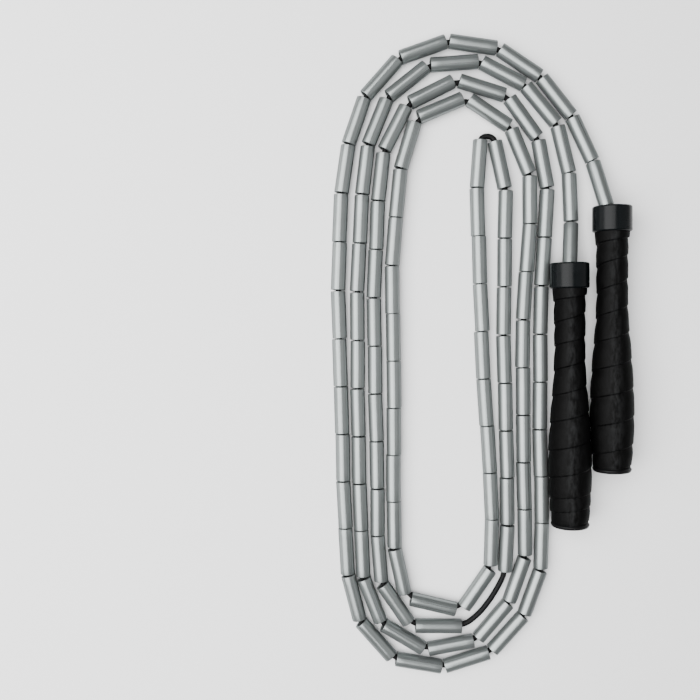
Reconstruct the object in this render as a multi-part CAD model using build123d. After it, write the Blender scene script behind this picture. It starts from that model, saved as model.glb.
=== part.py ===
from build123d import *
import math
import os

# A beaded jump rope, laid out in two loops on a flat surface.
#
# Frame: the origin is on the surface, midway between the two handles. +X points from the left
# handle to the right one, +Y along both handles towards their collars, and +Z up.
#
# One cord runs through every bead, from the collar of the right handle to the collar of the
# left one. Inside each collar it ends in a knot behind a washer, on which the handle spins.

# Driving dimensions, in millimetres
bead_length = 24.9
bead_diameter = 7.7
bead_bore = 5.2
bead_rim = 0.3
beads_in_a_node = 5
cord_diameter = 3.0

handle_length = 138.3
handle_spacing = 22.4
handle_stagger = 29.1
axis_height = 11.4

collar_length = 12.4
collar_diameter = 19.3
collar_edge = 0.4
recess_diameter = 16.0
recess_depth = 9.3
cord_hole_diameter = 4.6
floor_thickness = 2.7
spigot_diameter = 11.2
spigot_bore = 8.8
spigot_length = 11.0

tape_thickness = 1.0
running_clearance = 0.05
washer_diameter = 8.2
washer_thickness = 1.4
knot_diameter = 7.0
tail_length = 22.0

plug_flange = 0.9
plug_stem_length = 12.0
plug_seat_diameter = 13.2
plug_wall = 1.6

# The cord turns about a point on the handle's axis, this deep inside the collar's mouth, where
# it is cut in two: each side stops short of that point, which leaves room for the handle to tilt
pivot_depth = 3.5
cord_gap = 0.45

# The grip's outside: distance from the collar's mouth, and radius
grip_start = collar_length + 0.1
grip_end = handle_length - plug_flange
grip_outline = [
    (grip_start, 8.8),
    (16.5, 8.65),
    (22.5, 8.05),
    (46.0, 7.85),
    (60.0, 8.4),
    (71.0, 9.4),
    (83.0, 10.4),
    (95.0, 11.1),
    (108.0, 11.4),
    (119.0, 11.2),
    (130.0, 10.4),
    (grip_end, 9.5),
]

# The handle tube's inside: distance from the mouth, and radius
tube_bore = [
    (grip_start, spigot_diameter / 2 + running_clearance),
    (24.0, spigot_diameter / 2 + running_clearance),
    (25.5, 4.7),
    (50.0, 4.7),
    (95.0, 8.0),
    (118.0, 8.2),
    (124.0, plug_seat_diameter / 2),
    (grip_end, plug_seat_diameter / 2),
]

bead_radius = bead_diameter / 2
cord_radius = cord_diameter / 2
floor_level = bead_radius
right_mouth = (handle_length + handle_stagger) / 2
left_mouth = (handle_length - handle_stagger) / 2
right_pivot = (handle_spacing / 2, right_mouth - pivot_depth, axis_height)
left_pivot = (-handle_spacing / 2, left_mouth - pivot_depth, axis_height)

# The cord's route from the right handle to the left one, as (beads on each run, ends of the
# runs). A run goes straight from one point to the next. A point with no height is on the level
# at which the beads lie on the surface.
route = [
    # out of the right collar, down to the surface
    (0, [(8.7, 84.2, 10.1)]),
    (1, [(3.5, 108.5, 4.3)]),
    # over the top, outermost loop
    (1, [(-7.3, 132.4), (-23.8, 153.4), (-46.2, 168.7), (-73.2, 172.8), (-99.2, 164.0), (-117.4, 143.8)]),
    (1, [(-126.0, 119.0), (-130.0, 93.5)]),
    # down the left side
    (2, [(-132.6, 42.5), (-131.6, -8.4), (-131.2, -59.3), (-129.6, -110.3)]),
    # round the bottom
    (1, [(-123.9, -136.2), (-106.1, -157.8), (-78.5, -162.8), (-52.0, -155.1), (-33.8, -134.8), (-24.6, -109.7)]),
    # up beside the left handle
    (1, [(-24.2, -83.8)]),
    (2, [(-25.2, -33.2), (-24.8, 17.7)]),
    (1, [(-24.1, 43.3), (-22.3, 69.0), (-20.4, 94.8)]),
    # over the top again
    (1, [(-25.0, 121.2), (-41.0, 144.1), (-68.9, 153.0), (-95.2, 140.4), (-107.8, 115.4), (-110.6, 89.2)]),
    # down the left side again
    (2, [(-113.6, 38.3), (-113.4, -12.6), (-112.8, -63.5)]),
    # round the bottom, to the stretch with no beads
    (1, [(-113.2, -89.2), (-112.2, -115.5), (-96.2, -140.0), (-68.4, -140.2)]),
    (0, [(-60.0, -134.6), (-53.4, -126.9), (-48.2, -118.6), (-44.2, -110.5)]),
    # up to the fold
    (1, [(-42.8, -84.6)]),
    (2, [(-43.4, -33.5), (-44.6, 17.5), (-43.6, 68.8)]),
    (1, [(-42.4, 94.6), (-48.1, 120.1)]),
    # the fold at the middle of the rope
    (0, [(-50.6, 122.4), (-54.1, 122.6), (-56.7, 120.6)]),
    # back down, beside the first half
    (1, [(-58.7, 95.5)]),
    (2, [(-57.3, 45.0), (-55.4, -5.6), (-52.2, -56.1)]),
    # round the bottom, innermost loop
    (1, [(-51.2, -81.5), (-51.3, -108.1), (-68.6, -132.6), (-98.8, -124.8), (-104.0, -96.2)]),
    # up the left side
    (2, [(-103.7, -45.6), (-103.3, 4.8), (-103.7, 55.1)]),
    # over the top
    (1, [(-101.3, 80.4), (-98.7, 106.0), (-91.0, 132.8), (-63.6, 143.9), (-39.4, 127.7), (-29.5, 102.3)]),
    # down the right side
    (1, [(-30.0, 76.2)]),
    (2, [(-34.2, 25.6), (-34.2, -25.3), (-33.6, -76.2)]),
    # round the bottom
    (1, [(-32.9, -102.3), (-42.1, -127.6), (-59.8, -148.7), (-88.3, -153.4), (-112.5, -138.2), (-121.6, -112.0)]),
    # up the left side
    (2, [(-122.5, -60.8), (-122.8, -9.6), (-122.4, 41.6), (-119.0, 92.7)]),
    # over the top and down into the left collar
    (1, [(-115.8, 118.6), (-105.7, 143.5), (-83.7, 160.6), (-56.0, 162.2), (-32.1, 149.3), (-14.8, 128.6)]),
    (1, [(-8.9, 102.7), (-8.2, 76.7, 4.3)]),
    (1, [left_pivot]),
]

smallest_arc = 3 * cord_diameter
bore_room = 0.92 * (bead_bore - cord_diameter)
# at a corner a bead's end follows the cord's arc this share of the way
bead_shift = 0.5
step_share = 0.35


def route_points():
    """The route's points in space, and the number of beads on the run that ends at each one."""
    points = [Vector(*right_pivot)]
    beads = [0]
    for count, ends in route:
        for end in ends:
            points.append(Vector(end[0], end[1], end[2] if len(end) == 3 else floor_level))
            beads.append(count)
    for i, inward in ((0, 1), (-1, -2)):
        points[i] = points[i] + (points[inward] - points[i]).normalized() * cord_gap
    return points, beads


def corner_arcs(points, beads):
    """At each point: the arc's radius, the way from the point to the arc's middle, and how far
    from the point the beads on both sides keep back so that their rims don't meet."""
    radii = []
    offsets = [Vector(0, 0, 0)]
    keep_back = [0]
    for i in range(1, len(points) - 1):
        before = points[i] - points[i - 1]
        after = points[i + 1] - points[i]
        half_turn = math.radians(before.get_angle(after)) / 2
        bow = 1 / math.cos(half_turn) - 1
        radius = 0.45 * min(before.length, after.length) / math.tan(half_turn)
        between_beads = beads[i] and beads[i + 1]
        # between two beads the arc is no larger than their bores leave room for
        if between_beads:
            radius = min(radius, max(bore_room / bow, smallest_arc))
        radii.append(radius)
        offsets.append((after.normalized() - before.normalized()).normalized() * (radius * bow))
        reach = bead_radius + bead_shift * radius * bow
        keep_back.append(reach * math.tan(half_turn) if between_beads else 0)
    offsets.append(Vector(0, 0, 0))
    keep_back.append(0)
    return radii, offsets, keep_back


def step_aside(number):
    """How far a loose bead sits to one side of the cord: uneven, but the same every time."""
    return math.sin(number * 2.4) * math.cos(number * 0.7)


def bead_ends(points, beads, offsets, keep_back):
    """The two ends of each bead's axis, from the right handle to the left one."""
    ends = []
    for i in range(1, len(points)):
        count = beads[i]
        if count == 0:
            continue
        run = points[i] - points[i - 1]
        along = run.normalized()
        aside = Vector(along.Y, -along.X, 0)
        gap = (run.length - keep_back[i - 1] - keep_back[i]) / count - bead_length
        for k in range(count):
            start = points[i - 1] + along * (keep_back[i - 1] + gap / 2 + k * (bead_length + gap))
            end = start + along * bead_length
            if k == 0:
                start = start + offsets[i - 1] * bead_shift
            if k == count - 1:
                end = end + offsets[i] * bead_shift
            if count == 2:
                start = start + aside * (step_share * step_aside(len(ends)) * (1 if k else 0.4))
                end = end + aside * (step_share * step_aside(len(ends) + 7) * (0.4 if k else 1))
            middle = (start + end) / 2
            half = (end - start).normalized() * (bead_length / 2)
            ends.append((middle - half, middle + half))
    return ends


def turned(*outline):
    """A solid of revolution about Z, from (radius, height) corners."""
    return revolve(make_face(Plane.XZ * Polyline(*outline, close=True)), Axis.Z)


def on_handle(solid, mouth_x, mouth_y):
    """Place a piece that was drawn with the collar's mouth at the origin and the handle below."""
    return Location((mouth_x, mouth_y, axis_height), (-90, 0, 0)) * solid


def bead(start, end):
    """One straight tube bead with softened rims."""
    shape = Cylinder(bead_radius, bead_length) - Cylinder(bead_bore / 2, bead_length + 2)
    shape = fillet(shape.edges().filter_by(GeomType.CIRCLE), bead_rim)
    return Plane(origin=(start + end) / 2, z_dir=end - start) * shape


def main_cord(points, radii):
    """The cord from pivot to pivot: straight runs joined by tangent arcs."""
    path = FilletPolyline(*points, radius=radii)
    section = Plane(origin=path @ 0, z_dir=path % 0) * Circle(cord_radius)
    return sweep(section, path=path), path


def collar():
    """The moulded end cap: a wide recess for the first bead, a holed floor, and a spigot."""
    mouth = recess_diameter / 2
    outside = collar_diameter / 2
    spigot = spigot_diameter / 2
    hole = cord_hole_diameter / 2
    floor_bottom = recess_depth + floor_thickness
    spigot_end = collar_length + spigot_length
    return turned(
        (mouth, 0),
        (outside - collar_edge, 0),
        (outside, -collar_edge),
        (outside, -collar_length + collar_edge),
        (outside - collar_edge, -collar_length),
        (spigot, -collar_length),
        (spigot, -spigot_end + collar_edge),
        (spigot - collar_edge, -spigot_end),
        (spigot_bore / 2, -spigot_end),
        (spigot_bore / 2, -floor_bottom),
        (hole, -floor_bottom),
        (hole, -recess_depth - 1.0),
        (hole + 1.0, -recess_depth),
        (mouth - 1.2, -recess_depth),
    )


def grip_line(inset):
    """The grip's outline as a smooth line, moved in by inset."""
    return Plane.XZ * Spline(*[(radius - inset, -away) for away, radius in grip_outline])


def grip_tape():
    """The wrapped tape, as one closed sleeve round the tube."""
    outside = grip_line(0)
    inside = grip_line(tape_thickness)
    ends = [Line(outside @ 0, inside @ 0), Line(outside @ 1, inside @ 1)]
    return revolve(make_face([outside, inside] + ends), Axis.Z)


def handle_tube():
    """The moulded tube under the tape, hollow from end to end."""
    outside = grip_line(tape_thickness)
    inside = Plane.XZ * Polyline(*[(radius, -away) for away, radius in tube_bore])
    ends = [Line(outside @ 0, inside @ 0), Line(outside @ 1, inside @ 1)]
    return revolve(make_face([outside, inside] + ends), Axis.Z)


def butt_plug():
    """The cup-shaped plug that closes the tube's far end and pulls out."""
    stem = plug_seat_diameter / 2 - running_clearance
    flange = grip_outline[-1][1] - 0.3
    top = -grip_end + plug_stem_length
    return turned(
        (stem - plug_wall, top),
        (stem - 0.4, top),
        (stem, top - 0.4),
        (stem, -grip_end),
        (flange, -grip_end),
        (flange, -handle_length + 0.4),
        (flange - 0.4, -handle_length),
        (0, -handle_length),
        (0, -grip_end),
        (stem - plug_wall, -grip_end),
    )


def thrust_washer():
    """The washer that carries the pull of the cord, just behind the collar's floor."""
    top = -recess_depth - floor_thickness - running_clearance
    return turned(
        (cord_radius, top),
        (washer_diameter / 2, top),
        (washer_diameter / 2, top - washer_thickness),
        (cord_radius, top - washer_thickness),
    )


def stop_knot():
    """The two turns of the stop knot, as one closed ring round the cord."""
    top = -recess_depth - floor_thickness - running_clearance - washer_thickness
    outer = knot_diameter / 2
    return turned(
        (cord_radius, top),
        (outer - 0.9, top),
        (outer, top - 0.9),
        (outer, top - 2.1),
        (outer - 0.5, top - 2.9),
        (outer, top - 3.7),
        (outer, top - 4.9),
        (outer - 0.9, top - 5.8),
        (cord_radius, top - 5.8),
    )


def cord_tail():
    """The cord's end inside the handle, through the washer and the knot."""
    length = tail_length - cord_gap
    return Pos(0, 0, -pivot_depth - cord_gap - length / 2) * Cylinder(cord_radius, length)


points, beads = route_points()
radii, offsets, keep_back = corner_arcs(points, beads)
cord, path = main_cord(points, radii)
ends = bead_ends(points, beads, offsets, keep_back)

handle_pieces = {
    "collar": collar(),
    "handle_tube": handle_tube(),
    "grip_tape": grip_tape(),
    "butt_plug": butt_plug(),
    "thrust_washer": thrust_washer(),
    "stop_knot": stop_knot(),
    "cord_tail": cord_tail(),
}

os.makedirs("parts", exist_ok=True)
for side, place_x, place_y in (("right", right_pivot[0], right_mouth), ("left", left_pivot[0], left_mouth)):
    for name, piece in handle_pieces.items():
        export_step(on_handle(piece, place_x, place_y), f"parts/{side}_{name}.step")

export_step(cord, "parts/cord.step")

for first in range(0, len(ends), beads_in_a_node):
    group = [bead(*pair) for pair in ends[first : first + beads_in_a_node]]
    number = first // beads_in_a_node + 1
    export_step(Compound(children=group), f"parts/beads_{number:02d}.step")

print("beads", len(ends), "cord length", round(path.length, 1), "smallest arc", round(min(radii), 1))
print("radii", [round(radius, 1) for radius in radii])
print("cord volume over section times length", round(cord.volume / (math.pi * cord_radius**2 * path.length), 4))
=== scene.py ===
"""A beaded jump rope, laid in loops on a surface: its looks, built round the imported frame. Metres."""

import math

import bmesh
import bpy
import numpy as np
from mathutils import Euler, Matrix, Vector, noise


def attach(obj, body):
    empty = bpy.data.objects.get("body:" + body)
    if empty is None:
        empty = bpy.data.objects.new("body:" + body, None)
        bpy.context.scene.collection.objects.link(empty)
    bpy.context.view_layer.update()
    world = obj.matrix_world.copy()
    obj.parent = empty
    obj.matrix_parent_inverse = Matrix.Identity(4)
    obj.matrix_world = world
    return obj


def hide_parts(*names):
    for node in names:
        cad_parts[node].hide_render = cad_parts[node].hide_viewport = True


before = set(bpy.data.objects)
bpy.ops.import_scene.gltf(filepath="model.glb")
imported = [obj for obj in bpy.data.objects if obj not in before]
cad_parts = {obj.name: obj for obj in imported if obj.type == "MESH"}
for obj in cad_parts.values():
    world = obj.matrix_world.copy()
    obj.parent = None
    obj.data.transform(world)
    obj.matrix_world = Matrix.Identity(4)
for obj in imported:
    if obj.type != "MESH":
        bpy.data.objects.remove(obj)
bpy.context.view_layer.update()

MM = 0.001

# ---------------------------------------------------------------- sizes

# the cord, and its braid: carriers wound each way, and the length of one full turn of a carrier
CORD_RADIUS = 1.5 * MM
BRAID_CARRIERS = 8
BRAID_LEAD = 9.0 * MM
BRAID_DEPTH = 0.36 * MM
# how much of the braid's depth a stretch without detail keeps below the cord's radius
PLAIN_DEPTH = 0.35
BRAID_RING = 36
BRAID_STEP = 0.33 * MM
HIDDEN_STEP = 5.0 * MM

# one tube bead
BEAD_RADIUS = 3.85 * MM
BEAD_LENGTH = 24.9 * MM
BEAD_BORE = 2.6 * MM
BEAD_RIM = 0.3 * MM
BEAD_BORE_RIM = 0.25 * MM
BEAD_RING = 48
# how much a bead differs from the next: in tone, in the cut of its ends, and in roundness
BEAD_SHADE = 0.05
BEAD_SLANT = 0.05 * MM
BEAD_OVAL = 0.004
BEAD_SEED_SCALE = 700

# a handle, in millimetres, along its axis from the collar's mouth
HANDLE_LENGTH = 138.3
COLLAR_LENGTH = 12.4
COLLAR_RADIUS = 9.65
RECESS_DEPTH = 9.3
RECESS_RADIUS = 8.0
COLLAR_FLOOR_END = 12.0
CORD_HOLE_RADIUS = 2.3
SPIGOT_RADIUS = 5.6
SPIGOT_BORE = 4.4
SPIGOT_LENGTH = 11.0
PIVOT_DEPTH = 3.5
TAIL_LENGTH = 22.0
KNOT_CORD_RADIUS = 1.0 * MM
KNOT_RADIUS = 2.5
KNOT_START = 14.5
KNOT_PITCH = 2.0
KNOT_TURNS = 1.8
GRIP_END = 137.4
PLUG_RIM = 9.2
PLUG_STEM = 6.55
PLUG_WALL = 1.6
PLUG_STEM_LENGTH = 12.0
PLUG_DISH_DEPTH = 0.3
AXIS_HEIGHT = 11.4
LATHE_RING = 128
# for each handle: its axis, and its collar's mouth
HANDLES = {"right": (11.2, 83.7), "left": (-11.2, 54.6)}

# The tape, in millimetres: where its edge is after each half turn, from the collar to the butt; the
# radius of a single layer; and the edge's section, as (how far back, how much of the drop)
TAPE_EDGES = {
    "right": [12.5, 15.7, 18.8, 23.7, 30.6, 36.0, 43.9, 49.9, 57.2, 63.8, 70.5, 78.0, 85.1, 92.8, 99.8, 107.6]
    + [115.0, 122.5, 129.5, 134.5, 137.4],
    "left": [12.5, 16.0, 18.9, 24.4, 30.9, 37.1, 42.5, 49.0, 55.6, 62.2, 69.0, 76.0, 83.2, 90.7, 98.0, 105.2]
    + [112.2, 119.2, 123.0, 126.1, 130.8, 134.7, 137.4],
}
TAPE_OUTLINE = [(12.5, 8.4), (16.5, 7.8), (22.5, 7.6), (46.0, 7.4), (60.0, 7.9), (71.0, 8.8), (83.0, 9.7)]
TAPE_OUTLINE += [(95.0, 10.4), (108.0, 10.7), (119.0, 10.5), (130.0, 9.8), (137.4, 9.0)]
TAPE_LAYER = 0.5
TAPE_SWELL = 6.0
TAPE_LIP = [(0.30, 0.0), (0.14, 0.05), (0.04, 0.22), (0.0, 0.5), (0.03, 0.8), (0.12, 1.0)]
TAPE_RING = 96
TAPE_ACROSS = 15
TAPE_THICKNESS = 0.6
# the doubled turn beside the collar: its radius at the collar, and how fast it narrows
TAPE_COLLAR_RADIUS = 9.0
TAPE_COLLAR_TAPER = 0.09
# the painted highlight streak on the tape: how far left of the top it runs, and its width, as shares of the
# radius
HIGHLIGHT_PLACE = 0.16
HIGHLIGHT_WIDTH = 0.3

BEAD_NODES = [f"beads_{number:02d}" for number in range(1, 23)]

# ---------------------------------------------------------------- helpers


def new_object(name, vertices, faces, material, uv=None, body=None):
    """A smooth mesh piece from vertices and faces, with one (u, v) for each face corner if uv is given."""
    mesh = bpy.data.meshes.new(name)
    mesh.from_pydata([tuple(v) for v in vertices], [], faces)
    mesh.materials.append(material)
    if uv is not None:
        layer = mesh.uv_layers.new(name="UVMap")
        layer.data.foreach_set("uv", np.asarray(uv, np.float32).ravel())
    mesh.polygons.foreach_set("use_smooth", [True] * len(mesh.polygons))
    mesh.update()
    made = bpy.data.objects.new(name, mesh)
    bpy.context.collection.objects.link(made)
    if body:
        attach(made, body)
    return made


def ring_faces(rows, columns, start=0, flip=False):
    """Faces and (column, row) corners of a tube of rings, numbered ring by ring."""
    faces, corners = [], []
    for r in range(rows - 1):
        for c in range(columns):
            d = (c + 1) % columns
            face = [start + r * columns + c, start + r * columns + d]
            face += [start + (r + 1) * columns + d, start + (r + 1) * columns + c]
            corner = [(c, r), (c + 1, r), (c + 1, r + 1), (c, r + 1)]
            faces.append(face[::-1] if flip else face)
            corners += corner[::-1] if flip else corner
    return faces, corners


def arc(middle, radius, start, end, steps=5):
    """Points of an arc in a profile, from one angle to another, in degrees."""
    angles = [math.radians(start + (end - start) * k / steps) for k in range(steps + 1)]
    return [(middle[0] + radius * math.cos(a), middle[1] + radius * math.sin(a)) for a in angles]


def curve_points(name, route, steps):
    """The points of the smooth line that a route's points control."""
    data = bpy.data.curves.new(name, "CURVE")
    data.dimensions = "3D"
    spline = data.splines.new("NURBS")
    spline.points.add(len(route) - 1)
    for point, place in zip(spline.points, route):
        point.co = (*place, 1)
    spline.order_u = 3
    spline.use_endpoint_u = True
    spline.resolution_u = steps
    line = bpy.data.objects.new(name, data)
    bpy.context.collection.objects.link(line)
    bpy.context.view_layer.update()
    mesh = bpy.data.meshes.new_from_object(line.evaluated_get(bpy.context.evaluated_depsgraph_get()))
    places = np.array([v.co[:] for v in mesh.vertices])
    bpy.data.meshes.remove(mesh)
    bpy.data.objects.remove(line)
    return places


# ---------------------------------------------------------------- materials


class Look:
    """A short way to write a material's nodes."""

    def __init__(self, name):
        self.material = bpy.data.materials.new(name)
        self.material.use_nodes = True
        self.tree = self.material.node_tree
        self.shader = self.tree.nodes["Principled BSDF"]

    def give(self, socket, value):
        if isinstance(value, bpy.types.NodeSocket):
            self.tree.links.new(value, socket)
        elif isinstance(value, tuple) and len(value) == 3 and socket.type == "RGBA":
            socket.default_value = (*value, 1)
        else:
            socket.default_value = value

    def add(self, kind, inputs=(), **settings):
        node = self.tree.nodes.new(kind)
        for key, value in settings.items():
            setattr(node, key, value)
        for key, value in dict(inputs).items():
            self.give(node.inputs[key], value)
        return node

    def set(self, **inputs):
        for key, value in inputs.items():
            self.give(self.shader.inputs[key.replace("_", " ")], value)

    def ramp(self, factor, *stops):
        """A ramp through (place, grey or colour) stops."""
        node = self.add("ShaderNodeValToRGB", {"Fac": factor})
        elements = node.color_ramp.elements
        while len(elements) < len(stops):
            elements.new(0.5)
        for element, (place, colour) in zip(elements, stops):
            element.position = place
            element.color = (*((colour,) * 3 if isinstance(colour, float) else colour), 1)
        return node.outputs["Color"]

    def place(self, scale, source="Object"):
        coordinates = self.add("ShaderNodeTexCoord").outputs[source]
        return self.add("ShaderNodeMapping", {"Vector": coordinates, "Scale": scale}).outputs["Vector"]

    def noise(self, scale, source="Object", detail=4.0, roughness=0.55):
        vector = self.place(scale, source)
        inputs = {"Vector": vector, "Scale": 1.0, "Detail": detail, "Roughness": roughness}
        return self.add("ShaderNodeTexNoise", inputs).outputs["Fac"]

    def mix(self, factor, a, b, blend="MIX"):
        node = self.add("ShaderNodeMix", data_type="RGBA", blend_type=blend)
        for socket, value in ((node.inputs[0], factor), (node.inputs[6], a), (node.inputs[7], b)):
            self.give(socket, value)
        return node.outputs[2]

    def bump(self, height, strength, distance, after=None):
        inputs = {"Height": height, "Strength": strength, "Distance": distance}
        if after is not None:
            inputs["Normal"] = after
        return self.add("ShaderNodeBump", inputs).outputs["Normal"]


def bead_look():
    """Satin grey tube: fine streaks along it from extrusion, and faint clouding."""
    n = Look("bead_plastic")
    streaks = n.noise((40, 1.5, 1), "UV", 3.0)
    clouds = n.noise((110, 110, 110), detail=3.0)
    tone = n.ramp(streaks, (0.3, (0.19, 0.207, 0.204)), (0.7, (0.25, 0.268, 0.263)))
    cloudy = n.ramp(clouds, (0.3, 0.93), (0.7, 1.0))
    tint = n.add("ShaderNodeAttribute", attribute_name="tint").outputs["Color"]
    n.set(
        Base_Color=n.mix(1.0, n.mix(1.0, tone, cloudy, "MULTIPLY"), tint, "MULTIPLY"),
        Metallic=0.75,
        Specular_Tint=(0.1, 0.12, 0.13),
        Roughness=n.ramp(streaks, (0.3, 0.272), (0.7, 0.285)),
    )
    return n.material


def cord_look():
    """Black braided polyester: fine yarn lines along the carriers, dull."""
    n = Look("cord_braid")
    yarn = n.noise((9, 9, 1), "UV")
    n.set(
        Base_Color=n.ramp(yarn, (0.3, (0.0015, 0.0015, 0.0017)), (0.75, (0.006, 0.006, 0.0065))),
        Roughness=0.55,
        Specular_IOR_Level=0.12,
        Normal=n.bump(yarn, 0.4, 0.0001),
    )
    return n.material


def moulded_look(name, dark, light, roughness, grain):
    """Smooth black moulded plastic with a very fine grain and faint marks."""
    n = Look(name)
    marks = n.noise((140, 140, 140), detail=6.0, roughness=0.6)
    fine = n.noise((2600, 2600, 2600), detail=2.0)
    n.set(
        Base_Color=n.ramp(marks, (0.3, dark), (0.75, light)),
        Specular_IOR_Level=0.12,
        Roughness=n.ramp(marks, (0.3, roughness - 0.04), (0.7, roughness + 0.05)),
        Normal=n.bump(fine, grain, 0.00005),
    )
    return n.material


def tape_look():
    """Matte black elastic tape: a fine grain, faint dusty mottling, and a painted highlight: a lighter mottled
    streak along its top, left of centre.
    """
    n = Look("grip_tape")
    grain = n.noise((1500, 1500, 1500), detail=4.0, roughness=0.65)
    scuffs = n.noise((520, 170, 520), detail=7.0, roughness=0.7)
    # painted highlight: a lighter streak on the tape's upper side, broken up by the scuff mottle
    streak = n.add("ShaderNodeAttribute", attribute_name="painted_highlight_mask").outputs["Fac"]
    mottle = n.ramp(scuffs, (0.40, 0.0), (0.62, 1.0))
    share = n.add("ShaderNodeMath", {0: streak, 1: mottle}, operation="MULTIPLY").outputs[0]
    dust = n.ramp(scuffs, (0.45, 0.0), (0.75, 1.0))
    plain = n.mix(dust, (0.0009, 0.0009, 0.0009), (0.0022, 0.0022, 0.0023))
    n.set(
        Base_Color=n.mix(share, plain, (0.011, 0.0113, 0.0116)),
        Specular_IOR_Level=0.05,
        Roughness=n.ramp(scuffs, (0.35, 0.50), (0.7, 0.64)),
        Normal=n.bump(grain, 0.35, 0.00015, n.bump(scuffs, 0.3, 0.0003)),
    )
    return n.material


def hidden_look(name, colour, roughness):
    """Plain moulding, seen only when the handle is opened."""
    n = Look(name)
    fine = n.noise((800, 800, 800), detail=3.0)
    n.set(
        Base_Color=n.ramp(fine, (0.3, tuple(c * 0.85 for c in colour)), (0.7, colour)),
        Roughness=roughness,
        Normal=n.bump(fine, 0.2, 0.00008),
    )
    return n.material


BEAD = bead_look()
CORD = cord_look()
COLLAR = moulded_look("collar_plastic", (0.0016, 0.0023, 0.0027), (0.0030, 0.0040, 0.0045), 0.25, 0.06)
PLUG = moulded_look("plug_plastic", (0.0025, 0.0026, 0.0028), (0.004, 0.004, 0.0042), 0.38, 0.10)
TAPE = tape_look()
TUBE = hidden_look("tube_plastic", (0.030, 0.030, 0.031), 0.55)
NYLON = hidden_look("washer_nylon", (0.72, 0.71, 0.66), 0.42)

# ---------------------------------------------------------------- the beads


def tube_profile():
    """(radius, place along the axis) of a bead's section, once round, from its outside."""
    half = BEAD_LENGTH / 2
    rim, bore_rim = BEAD_RIM, BEAD_BORE_RIM
    outside = [(BEAD_RADIUS, -half + rim + (2 * half - 2 * rim) * k / 6) for k in range(7)]
    bore = [(BEAD_BORE, half - bore_rim - (2 * half - 2 * bore_rim) * k / 2) for k in range(3)]
    return (
        outside
        + arc((BEAD_RADIUS - rim, half - rim), rim, 0, 90)[1:]
        + arc((BEAD_BORE + bore_rim, half - bore_rim), bore_rim, 90, 180, 3)[:-1]
        + bore
        + arc((BEAD_BORE + bore_rim, -half + bore_rim), bore_rim, 180, 270, 3)[1:]
        + arc((BEAD_RADIUS - rim, -half + rim), rim, 270, 360)[:-1]
    )


def bead_places(node):
    """The middle and the axis of every bead in a CAD node, read from its separate shells."""
    shape = bmesh.new()
    shape.from_mesh(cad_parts[node].data)
    bmesh.ops.remove_doubles(shape, verts=shape.verts, dist=0.002 * MM)
    places, seen = [], set()
    for vertex in shape.verts:
        if vertex in seen:
            continue
        shell, stack = [], [vertex]
        seen.add(vertex)
        while stack:
            here = stack.pop()
            shell.append(here.co[:])
            for edge in here.link_edges:
                other = edge.other_vert(here)
                if other not in seen:
                    seen.add(other)
                    stack.append(other)
        points = np.array(shell)
        middle = points.mean(0)
        axis = np.linalg.svd(points - middle, full_matrices=False)[2][0]
        along = (points - middle) @ axis
        places.append((middle + axis * (along.max() + along.min()) / 2, axis))
    shape.free()
    return places


def make_beads(node):
    """The beads of one CAD node, each turned and tinted a little differently."""
    profile = tube_profile()
    rows = len(profile)
    vertices, faces, uv, tints = [], [], [], []
    for number, (middle, axis) in enumerate(bead_places(node)):
        seed = Vector(middle) * BEAD_SEED_SCALE
        middle, axis = Vector(middle), Vector(axis)
        across = axis.orthogonal().normalized()
        other = axis.cross(across)
        turn = 2 * math.pi * noise.noise(seed)
        shade = 1 + BEAD_SHADE * noise.noise(seed + Vector((5, 0, 0)))
        # the ends are cut a little out of square, and the tube is a little oval
        slants = [BEAD_SLANT * noise.noise(seed + Vector((0, k, 0))) for k in (3, 6, 9, 12)]
        start = len(vertices)
        for radius, place in profile:
            share = place / (BEAD_LENGTH / 2)
            for k in range(BEAD_RING):
                a = turn + 2 * math.pi * k / BEAD_RING
                pair = slants[:2] if share > 0 else slants[2:]
                cut = (pair[0] * math.cos(a) + pair[1] * math.sin(a)) * abs(share) ** 3
                r = radius * (1 + BEAD_OVAL * math.cos(2 * a + number))
                out = across * math.cos(a) + other * math.sin(a)
                vertices.append(middle + axis * (place + cut) + out * r)
        bead_faces, corners = ring_faces(rows, BEAD_RING, start)
        closing = [
            [start + (rows - 1) * BEAD_RING + k, start + (rows - 1) * BEAD_RING + (k + 1) % BEAD_RING]
            + [start + (k + 1) % BEAD_RING, start + k]
            for k in range(BEAD_RING)
        ]
        square = ((0, 0), (1, 0), (1, 1), (0, 1))
        closing_corners = [(k + d, rows - 1 + e) for k in range(BEAD_RING) for d, e in square]
        faces += bead_faces + closing
        # u goes once round the bead and v once round its section; each bead has its own patch of noise
        uv += [(c / BEAD_RING + 7 * number, r / rows + 3 * shade) for c, r in corners + closing_corners]
        tints += [(shade, shade, shade * 1.004, 1)] * (rows * BEAD_RING)
    made = new_object(node + "_tubes", vertices, faces, BEAD, uv, "rope")
    tint = made.data.color_attributes.new("tint", "FLOAT_COLOR", "POINT")
    tint.data.foreach_set("color", np.array(tints, np.float32).ravel())
    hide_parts(node)
    return made


beads = [make_beads(node) for node in BEAD_NODES]

# ---------------------------------------------------------------- the cord

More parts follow.
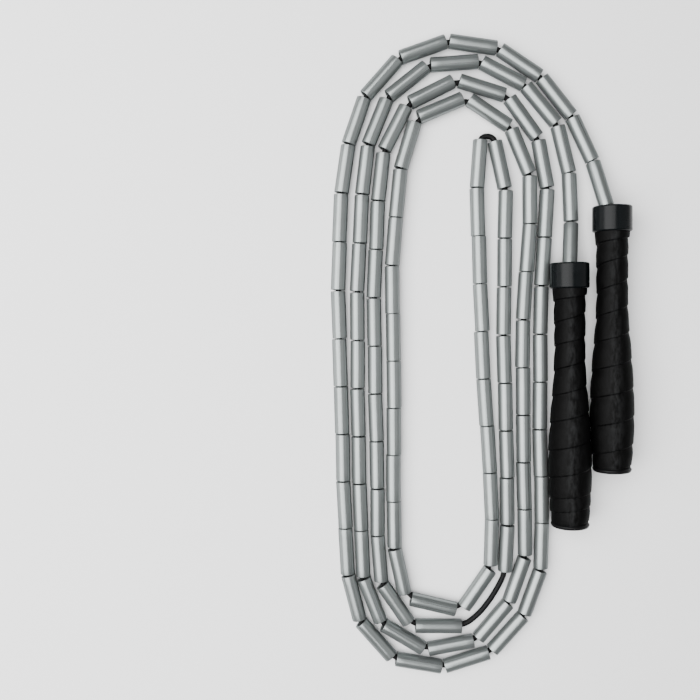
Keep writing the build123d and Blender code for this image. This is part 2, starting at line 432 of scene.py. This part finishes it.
# The route from the right handle to the left one, in millimetres, as in the CAD source. A point
# with no height is on the level at which the beads lie on the surface.
FLOOR_LEVEL = 3.85
ROUTE = [
    # out of the right collar, down to the surface
    (11.2, 80.2, 11.4), (8.7, 84.2, 10.1), (3.5, 108.5, 4.3),
    # over the top, outermost loop
    (-7.3, 132.4), (-23.8, 153.4), (-46.2, 168.7), (-73.2, 172.8), (-99.2, 164.0), (-117.4, 143.8),
    (-126.0, 119.0), (-130.0, 93.5),
    # down the left side
    (-132.6, 42.5), (-131.6, -8.4), (-131.2, -59.3), (-129.6, -110.3),
    # round the bottom
    (-123.9, -136.2), (-106.1, -157.8), (-78.5, -162.8), (-52.0, -155.1), (-33.8, -134.8), (-24.6, -109.7),
    # up beside the left handle
    (-24.2, -83.8), (-25.2, -33.2), (-24.8, 17.7), (-24.1, 43.3), (-22.3, 69.0), (-20.4, 94.8),
    # over the top again
    (-25.0, 121.2), (-41.0, 144.1), (-68.9, 153.0), (-95.2, 140.4), (-107.8, 115.4), (-110.6, 89.2),
    # down the left side again
    (-113.6, 38.3), (-113.4, -12.6), (-112.8, -63.5),
    # round the bottom, to the stretch with no beads
    (-113.2, -89.2), (-112.2, -115.5), (-96.2, -140.0), (-68.4, -140.2),
    (-60.0, -134.6), (-53.4, -126.9), (-48.2, -118.6), (-44.2, -110.5),
    # up to the fold
    (-42.8, -84.6), (-43.4, -33.5), (-44.6, 17.5), (-43.6, 68.8), (-42.4, 94.6), (-48.1, 120.1),
    # the fold at the middle of the rope
    (-50.6, 122.4), (-54.1, 122.6), (-56.7, 120.6),
    # back down, beside the first half
    (-58.7, 95.5), (-57.3, 45.0), (-55.4, -5.6), (-52.2, -56.1),
    # round the bottom, innermost loop
    (-51.2, -81.5), (-51.3, -108.1), (-68.6, -132.6), (-98.8, -124.8), (-104.0, -96.2),
    # up the left side
    (-103.7, -45.6), (-103.3, 4.8), (-103.7, 55.1),
    # over the top
    (-101.3, 80.4), (-98.7, 106.0), (-91.0, 132.8), (-63.6, 143.9), (-39.4, 127.7), (-29.5, 102.3),
    # down the right side
    (-30.0, 76.2), (-34.2, 25.6), (-34.2, -25.3), (-33.6, -76.2),
    # round the bottom
    (-32.9, -102.3), (-42.1, -127.6), (-59.8, -148.7), (-88.3, -153.4), (-112.5, -138.2), (-121.6, -112.0),
    # up the left side
    (-122.5, -60.8), (-122.8, -9.6), (-122.4, 41.6), (-119.0, 92.7),
    # over the top and down into the left collar
    (-115.8, 118.6), (-105.7, 143.5), (-83.7, 160.6), (-56.0, 162.2), (-32.1, 149.3), (-14.8, 128.6),
    (-8.9, 102.7), (-8.2, 76.7, 4.3), (-11.2, 51.1, 11.4),
]


def along_path(points):
    return np.concatenate([[0], np.cumsum(np.linalg.norm(np.diff(points, axis=0), axis=1))])


def frames_along(points):
    """Directions, and two directions across them, that don't twist along the line."""
    ahead = np.gradient(points, axis=0)
    ahead /= np.linalg.norm(ahead, axis=1)[:, None]
    side = np.cross(ahead[0], (0, 0, 1.0))
    if np.linalg.norm(side) < 1e-6:
        side = np.array((1.0, 0, 0))
    sides = []
    for direction in ahead:
        side = side - direction * (side @ direction)
        side = side / np.linalg.norm(side)
        sides.append(side)
    return ahead, np.array(sides), np.cross(ahead, np.array(sides))


def braid_height(angle, along):
    """How far the braid's surface stands out, from 0 in a crevice to 1 on top of a carrier."""
    turns = angle / (2 * math.pi)
    one = BRAID_CARRIERS * (turns - along / BRAID_LEAD)
    two = BRAID_CARRIERS * (turns + along / BRAID_LEAD)
    heights = []
    for own, crossed, sign in ((one, two, 1), (two, one, -1)):
        strand = np.round(own)
        lift = 0.5 + 0.5 * sign * np.cos(math.pi * (crossed - strand))
        crown = np.sqrt(np.clip(1 - (1.9 * (own - strand)) ** 2, 0, 1))
        heights.append(0.55 * lift + 0.45 * crown)
    return np.maximum(*heights)


def braided_tube(name, points, steps, radius, detail, body):
    """A closed braided tube along points, with rings at the given distances. Detail is 0 where it is plain."""
    way = along_path(points)
    middles = np.stack([np.interp(steps, way, points[:, k]) for k in range(3)], 1)
    ahead, side, up = frames_along(middles)
    angles = np.arange(BRAID_RING) * 2 * math.pi / BRAID_RING
    height = braid_height(angles[None, :], steps[:, None])
    detail = detail[:, None]
    r = radius - BRAID_DEPTH * ((1 - height) * detail + PLAIN_DEPTH * (1 - detail))
    out = side[:, None] * np.cos(angles)[None, :, None] + up[:, None] * np.sin(angles)[None, :, None]
    rings = middles[:, None] + out * r[:, :, None]
    # rounded ends
    caps = []
    for index, sign in ((0, -1), (-1, 1)):
        for k in (1, 2, 3):
            a = math.radians(90 * k / 3.4)
            middle = middles[index] + ahead[index] * sign * radius * math.sin(a)
            caps.append(middle + out[index] * r[index][:, None] * math.cos(a))
    rings = np.concatenate([caps[2::-1], rings, caps[3:]])
    rows = len(rings)
    faces, corners = ring_faces(rows, BRAID_RING)
    tip = rows * BRAID_RING
    vertices = list(rings.reshape(-1, 3))
    vertices += [middles[0] - ahead[0] * radius, middles[-1] + ahead[-1] * radius]
    uv_rows = np.concatenate([[steps[0]] * 3, steps, [steps[-1]] * 3])
    uv = [(c / BRAID_RING, uv_rows[row] / (2 * math.pi * radius)) for c, row in corners]
    for k in range(BRAID_RING):
        faces.append([(k + 1) % BRAID_RING, k, tip])
        faces.append([(rows - 1) * BRAID_RING + k, (rows - 1) * BRAID_RING + (k + 1) % BRAID_RING, tip + 1])
        uv += [((k + 1) / BRAID_RING, 0), (k / BRAID_RING, 0), ((k + 0.5) / BRAID_RING, 0)]
        uv += [(k / BRAID_RING, 0), ((k + 1) / BRAID_RING, 0), ((k + 0.5) / BRAID_RING, 0)]
    return new_object(name, vertices, faces, CORD, uv, body)


def make_cord():
    route = [Vector((p[0], p[1], p[2] if len(p) == 3 else FLOOR_LEVEL)) * MM for p in ROUTE]
    points = curve_points("cord_line", route, 40)
    way = along_path(points)
    # rings are far apart where a bead hides the cord
    hidden = np.zeros(len(points), bool)
    for node in BEAD_NODES:
        for middle, axis in bead_places(node):
            offset = points - middle
            along = np.abs(offset @ axis)
            apart = np.linalg.norm(offset - (offset @ axis)[:, None] * axis, axis=1)
            hidden |= (along < BEAD_LENGTH / 2 - 1.0 * MM) & (apart < BEAD_BORE)
    steps, detail = [0.0], [1.0]
    while steps[-1] < way[-1] - HIDDEN_STEP:
        here = steps[-1]
        covered = np.interp(here + HIDDEN_STEP, way, hidden) > 0.99 and np.interp(here, way, hidden) > 0.99
        between = np.searchsorted(way, [here, here + HIDDEN_STEP])
        covered = covered and hidden[between[0] : between[1]].all()
        steps.append(here + (HIDDEN_STEP if covered else BRAID_STEP))
        detail.append(0.0 if covered else 1.0)
    steps += list(np.arange(steps[-1] + BRAID_STEP, way[-1], BRAID_STEP))
    detail += [1.0] * (len(steps) - len(detail))
    steps, detail = np.array(steps), np.array(detail)
    cord = braided_tube("cord_braided", points, steps, CORD_RADIUS, detail, "rope")
    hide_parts("cord")


make_cord()

# ---------------------------------------------------------------- the handles


def on_handle(side, radius, angle, away):
    """A point on a handle, in millimetres: radius and angle about its axis (0 at the left, a quarter turn on
    top), and distance from the collar's mouth."""
    x, mouth = HANDLES[side]
    return Vector((x - radius * math.cos(angle), mouth - away, AXIS_HEIGHT + radius * math.sin(angle))) * MM


def closed_object(shape, name, material, body, node):
    """A closed smooth piece from a bmesh, in place of a CAD node. Points that meet are joined."""
    bmesh.ops.remove_doubles(shape, verts=shape.verts, dist=0.002 * MM)
    bmesh.ops.dissolve_degenerate(shape, edges=shape.edges, dist=0.001 * MM)
    bmesh.ops.recalc_face_normals(shape, faces=shape.faces)
    made = new_object(name, [], [], material, None, body)
    shape.to_mesh(made.data)
    shape.free()
    made.data.polygons.foreach_set("use_smooth", [True] * len(made.data.polygons))
    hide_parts(node)
    return made


def rounded(corners, steps=5):
    """A profile of (radius, distance) points from (radius, distance, rounding) corners."""
    result = []
    for k, (x, y, size) in enumerate(corners):
        here = Vector((x, y))
        if size == 0:
            result.append(tuple(here))
            continue
        back = (Vector(corners[k - 1][:2]) - here).normalized()
        on = (Vector(corners[(k + 1) % len(corners)][:2]) - here).normalized()
        half = back.angle(on) / 2
        middle = here + (back + on).normalized() * (size / math.sin(half))
        first = here + back * (size / math.tan(half)) - middle
        last = here + on * (size / math.tan(half)) - middle
        result += [tuple(middle + first.slerp(last, step / steps)) for step in range(steps + 1)]
    return result


def turned(side, corners):
    """A closed turned shape on a handle's axis."""
    shape = bmesh.new()
    rings = []
    for radius, away in rounded(corners):
        count = LATHE_RING if radius > 0 else 1
        angles = [2 * math.pi * k / LATHE_RING for k in range(count)]
        rings.append([shape.verts.new(on_handle(side, radius, angle, away)) for angle in angles])
    for one, two in zip(rings, rings[1:] + rings[:1]):
        for k in range(LATHE_RING):
            d = (k + 1) % LATHE_RING
            if len(one) > 1 and len(two) > 1:
                shape.faces.new((one[k], one[d], two[d], two[k]))
            elif len(one) > 1:
                shape.faces.new((one[k], one[d], two[0]))
            elif len(two) > 1:
                shape.faces.new((one[0], two[d], two[k]))
    return shape


def even_normals(made):
    """Keeps the flats of a turned piece flat beside its rounded edges."""
    made.modifiers.new("even_normals", "WEIGHTED_NORMAL").weight = 60


def make_collar(side):
    """The end cap: rounded edges, a recess for the last bead, a holed floor and a spigot."""
    end = COLLAR_LENGTH + SPIGOT_LENGTH
    corners = [
        (RECESS_RADIUS, 0.0, 0.45),
        (COLLAR_RADIUS, 0.0, 0.55),
        (COLLAR_RADIUS, COLLAR_LENGTH, 0.5),
        (SPIGOT_RADIUS, COLLAR_LENGTH, 0.0),
        (SPIGOT_RADIUS, end, 0.4),
        (SPIGOT_BORE, end, 0.2),
        (SPIGOT_BORE, COLLAR_FLOOR_END, 0.3),
        (CORD_HOLE_RADIUS, COLLAR_FLOOR_END, 0.2),
        (CORD_HOLE_RADIUS, RECESS_DEPTH, 0.8),
        (RECESS_RADIUS, RECESS_DEPTH, 1.2),
    ]
    shape = turned(side, corners)
    cap = closed_object(shape, f"{side}_collar_cap", COLLAR, f"{side}_handle", f"{side}_collar")
    even_normals(cap)


def make_plug(side):
    """The butt plug: a shallow dish in its end, a rounded rim and a hollow stem."""
    dish, top, inside = HANDLE_LENGTH - PLUG_DISH_DEPTH, GRIP_END - PLUG_STEM_LENGTH, PLUG_STEM - PLUG_WALL
    corners = [
        (0.0, dish, 0.0),
        (5.2, dish, 0.8),
        (6.4, HANDLE_LENGTH, 0.8),
        (PLUG_RIM, HANDLE_LENGTH, 0.4),
        (PLUG_RIM, GRIP_END, 0.2),
        (PLUG_STEM, GRIP_END, 0.0),
        (PLUG_STEM, top, 0.4),
        (inside, top, 0.3),
        (inside, GRIP_END, 0.6),
        (0.0, GRIP_END, 0.0),
    ]
    shape = turned(side, corners)
    cup = closed_object(shape, f"{side}_plug_cup", PLUG, f"{side}_plug", f"{side}_butt_plug")
    even_normals(cup)


def tape_radius(away, edge, after, angle):
    """The tape's outside between one edge and the next: one layer, then swelling over the turn beneath."""
    low = np.interp(away, *zip(*TAPE_OUTLINE))
    swell = min(1, max(0, (away - edge) / TAPE_SWELL))
    swell = swell * swell * (3 - 2 * swell)
    crown = math.sin(math.pi * min(1, max(0, (away - edge) / (after - edge + 0.01))))
    flare = min(1, max(0, (away - 50) / 40))
    puff = noise.noise(Vector((2.5 * math.cos(angle), 2.5 * math.sin(angle), 0.3 * away)))
    return low + TAPE_LAYER * swell + (0.05 + 0.07 * flare) * crown + 0.07 * puff


def make_tape(side):
    """The grip's tape, wound from the butt to the collar, each turn over the edge of the one before.

    The surface is one strip wound round the tube: each section runs from one edge to the edge a turn
    later, rounds that edge and drops down it to where the next turn begins."""
    edges = TAPE_EDGES[side]
    start, end = edges[0], edges[-1]
    seed = HANDLES[side][0]

    def edge_at(t):
        uneven = 0.25 * noise.noise(Vector((1.7 * t, seed, 0)))
        return float(np.interp(t, range(len(edges)), edges)) + uneven * (0 < t < len(edges) - 1)

    shape = bmesh.new()
    painted_highlight_mask = shape.verts.layers.float_color.new("painted_highlight_mask")
    sections = []
    for i in range((len(edges) + 1) * TAPE_RING // 2 + 1):
        t = 2 * i / TAPE_RING - 2
        angle = -math.pi * t
        edge, after = edge_at(t), edge_at(t + 2)
        if after < end:
            plain = np.linspace(edge, max(edge, after - TAPE_LIP[0][0]), TAPE_ACROSS)[:-1]
            stations = [(away, 0) for away in plain]
            stations += [(max(edge, after - back), drop) for back, drop in TAPE_LIP]
        else:
            stations = [(away, 0) for away in np.linspace(edge, end, TAPE_ACROSS - 1 + len(TAPE_LIP))]
        # beside the collar the last turn is doubled and nearly level
        doubled = min(1, max(0, 1 - t))
        # painted highlight: the lighter streak's weight, highest on the upper side just left of the top, where
        # the key light falls, and none on the underside
        highlight_weight = math.exp(-(((HIGHLIGHT_PLACE - math.cos(angle)) / HIGHLIGHT_WIDTH) ** 2)) * max(0, math.sin(angle))
        section = []
        for away, drop in stations:
            top = tape_radius(away, edge, after, angle)
            top += (TAPE_COLLAR_RADIUS - TAPE_COLLAR_TAPER * (away - start) - top) * doubled
            below = tape_radius(after, after, after + 13, angle)
            vertex = shape.verts.new(on_handle(side, top + (below - top) * drop, angle, away))
            vertex[painted_highlight_mask] = (highlight_weight, highlight_weight, highlight_weight, 1)
            section.append(vertex)
        sections.append(section)
    # a section's last point is the first of the section one turn on
    for section, turn_on in zip(sections, sections[TAPE_RING:]):
        turn_on[0].co = section[-1].co
    for one, two in zip(sections, sections[1:]):
        for j in range(len(one) - 1):
            shape.faces.new((one[j], one[j + 1], two[j + 1], two[j]))
    # the end rings, and the inside against the tube
    last = len(sections) - 1
    last_turn = sorted(range(last - TAPE_RING, last), key=lambda i: i % TAPE_RING)
    rings = [[section[0] for section in sections[:TAPE_RING]]]
    for away, radius in TAPE_OUTLINE:
        places = [(-2 * math.pi * k / TAPE_RING, away) for k in range(TAPE_RING)]
        rings.append([shape.verts.new(on_handle(side, radius - TAPE_THICKNESS, *place)) for place in places])
    rings.append([sections[i][-1] for i in last_turn])
    for one, two in zip(rings, rings[1:]):
        for k in range(TAPE_RING):
            d = (k + 1) % TAPE_RING
            shape.faces.new((one[k], one[d], two[d], two[k]))
    closed_object(shape, f"{side}_tape", TAPE, f"{side}_handle", f"{side}_grip_tape")


def make_cord_end(side):
    """The cord's tail in the handle, and the two turns of the knot that stops it behind the washer."""
    body = f"{side}_cord_end"
    plain = np.array([on_handle(side, 0, 0, PIVOT_DEPTH + TAIL_LENGTH * k / 40) for k in range(41)])
    turns = np.linspace(0, KNOT_TURNS, 73)
    places = [(2 * math.pi * t, KNOT_START + KNOT_PITCH * t) for t in turns]
    wraps = np.array([on_handle(side, KNOT_RADIUS, angle, away) for angle, away in places])
    for name, points, radius in (("cord_tail", plain, CORD_RADIUS), ("stop_knot", wraps, KNOT_CORD_RADIUS)):
        steps = np.arange(0, along_path(points)[-1], BRAID_STEP)
        detail = np.ones(len(steps))
        made = braided_tube(f"{side}_{name}_braided", points, steps, radius, detail, body)
        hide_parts(f"{side}_{name}")


for side in HANDLES:
    make_collar(side)
    make_plug(side)
    make_tape(side)
    make_cord_end(side)
    for part, material in (("handle_tube", TUBE), ("thrust_washer", NYLON)):
        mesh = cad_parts[f"{side}_{part}"].data
        mesh.materials.clear()
        mesh.materials.append(material)

# ---------------------------------------------------------------- floor, light and camera

FLOOR_HALF = 3.0
WORLD_STRENGTH = 0.15
CAMERA_LENS = 41.14
CAMERA_PLACE = (-134.45, 31.05, 428.92)
CAMERA_TURN = (-2.703, -1.112, -0.85)


def floor_look():
    n = Look("pale_floor")
    fine = n.noise((3, 3, 3), detail=2.0)
    n.set(Base_Color=n.ramp(fine, (0.3, 0.88), (0.7, 0.90)), Roughness=0.9, Specular_IOR_Level=0.0)
    return n.material


def make_floor():
    half = FLOOR_HALF
    corners = [(-half, -half, 0), (half, -half, 0), (half, half, 0), (-half, half, 0)]
    new_object("floor", corners, [(0, 1, 2, 3)], floor_look())


def area_light(name, place, aim, size, power):
    data = bpy.data.lights.new(name, "AREA")
    data.shape = "RECTANGLE"
    data.size, data.size_y = size
    data.energy = power
    light = bpy.data.objects.new(name, data)
    light.location = place
    light.rotation_euler = (Vector(aim) - Vector(place)).to_track_quat("-Z", "Y").to_euler()
    bpy.context.collection.objects.link(light)


def make_world():
    world = bpy.data.worlds.new("world")
    world.use_nodes = True
    background = world.node_tree.nodes["Background"]
    background.inputs["Color"].default_value = (0.95, 0.97, 1.0, 1)
    background.inputs["Strength"].default_value = WORLD_STRENGTH
    bpy.context.scene.world = world


make_floor()
make_world()
# a broad light from the upper left, a low panel behind it, and a weak fill from the right
area_light("key", (-0.52, 0.05, 0.85), (-0.06, 0.05, 0.0), (1.4, 1.2), 34)
area_light("panel", (-1.05, 0.0, 0.62), (-0.06, 0.0, 0.05), (1.1, 2.0), 14)
area_light("fill", (0.90, 0.0, 0.70), (-0.06, 0.0, 0.0), (0.8, 1.6), 3.0)

camera_data = bpy.data.cameras.new("camera")
camera_data.sensor_width = 36
camera_data.lens = CAMERA_LENS
camera_data.clip_start = 0.01
camera = bpy.data.objects.new("camera", camera_data)
camera.location = Vector(CAMERA_PLACE) * MM
camera.rotation_euler = Euler([math.radians(a) for a in CAMERA_TURN], "XYZ")
bpy.context.collection.objects.link(camera)
bpy.context.scene.camera = camera
